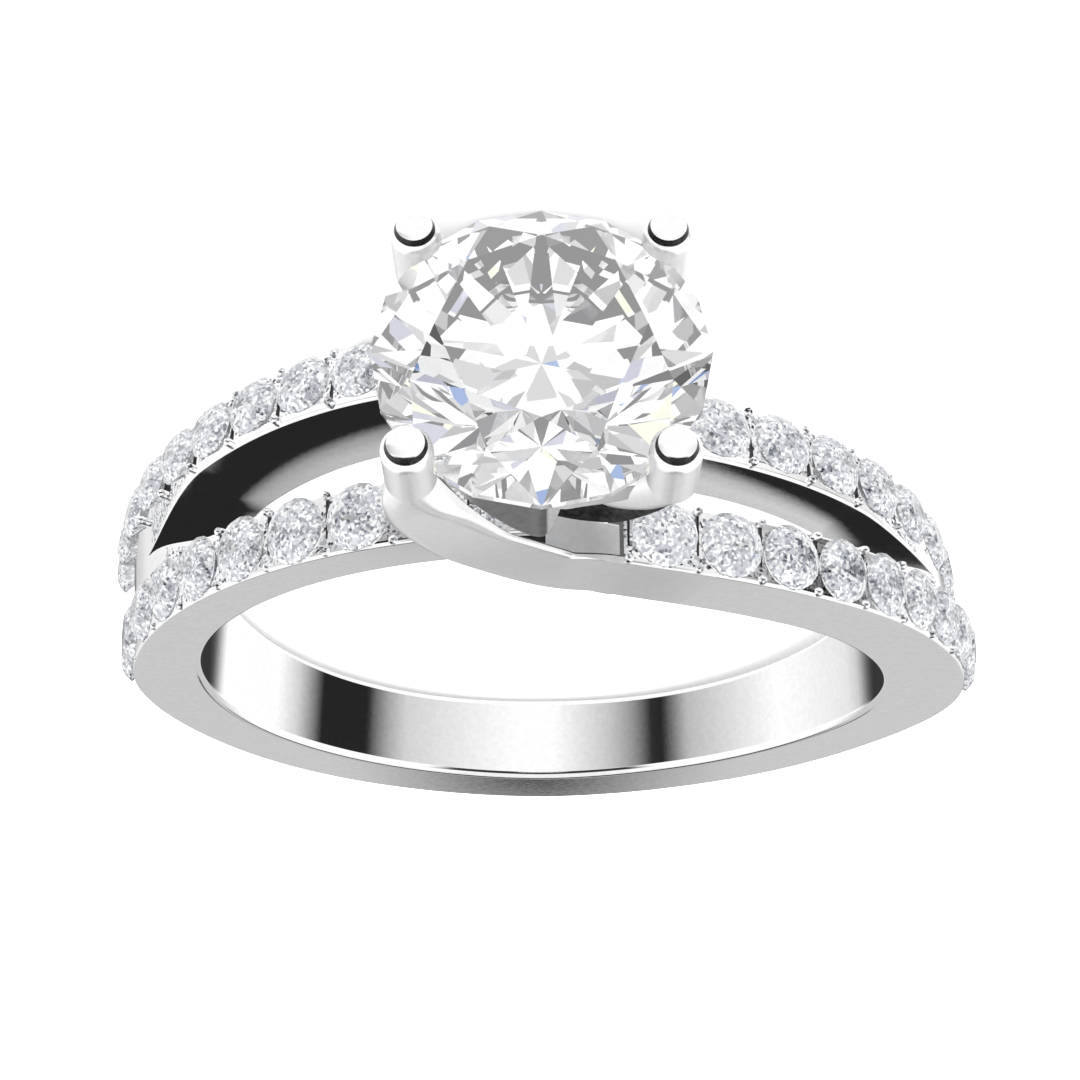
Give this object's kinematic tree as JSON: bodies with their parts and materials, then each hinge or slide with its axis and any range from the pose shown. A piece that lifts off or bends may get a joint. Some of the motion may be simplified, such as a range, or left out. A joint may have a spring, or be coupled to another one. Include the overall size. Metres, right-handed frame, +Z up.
{
  "type": "diamond ring",
  "caption": "Bypass ring with split shoulders, a four prong head holding a round brilliant, and rows of small round brilliants on the strands.",
  "frame": {"origin": "centre of the bounding box's bottom face, on the surface the ring lies on", "axes": "+Z up from the surface; the ring lies on its side with its head towards -Y, the finger hole's axis near +Z, tilted about 4.4 degrees by the way it rests; X runs across the band"},
  "size_m": [0.0214, 0.0258, 0.0062],
  "materials": {
    "white_metal": "polished",
    "diamond": "faceted"
  },
  "bodies": {
    "root": {"ring_metal": "white_metal", "centre_diamond": "diamond", "front_right_diamond_1": "diamond", "front_right_diamond_2": "diamond", "front_right_diamond_3": "diamond", "front_right_diamond_4": "diamond", "front_right_diamond_5": "diamond", "front_right_diamond_6": "diamond", "front_right_diamond_7": "diamond", "front_right_diamond_8": "diamond", "front_right_diamond_9": "diamond", "front_right_diamond_10": "diamond", "back_right_diamond_1": "diamond", "back_right_diamond_2": "diamond", "back_right_diamond_3": "diamond", "back_right_diamond_4": "diamond", "back_right_diamond_5": "diamond", "back_right_diamond_6": "diamond", "back_right_diamond_7": "diamond", "back_right_diamond_8": "diamond", "back_right_diamond_9": "diamond", "back_left_diamond_1": "diamond", "back_left_diamond_2": "diamond", "back_left_diamond_3": "diamond", "back_left_diamond_4": "diamond", "back_left_diamond_5": "diamond", "back_left_diamond_6": "diamond", "back_left_diamond_7": "diamond", "back_left_diamond_8": "diamond", "back_left_diamond_9": "diamond", "back_left_diamond_10": "diamond", "front_left_diamond_1": "diamond", "front_left_diamond_2": "diamond", "front_left_diamond_3": "diamond", "front_left_diamond_4": "diamond", "front_left_diamond_5": "diamond", "front_left_diamond_6": "diamond", "front_left_diamond_7": "diamond", "front_left_diamond_8": "diamond", "front_left_diamond_9": "diamond"}
  },
  "joints": []
}
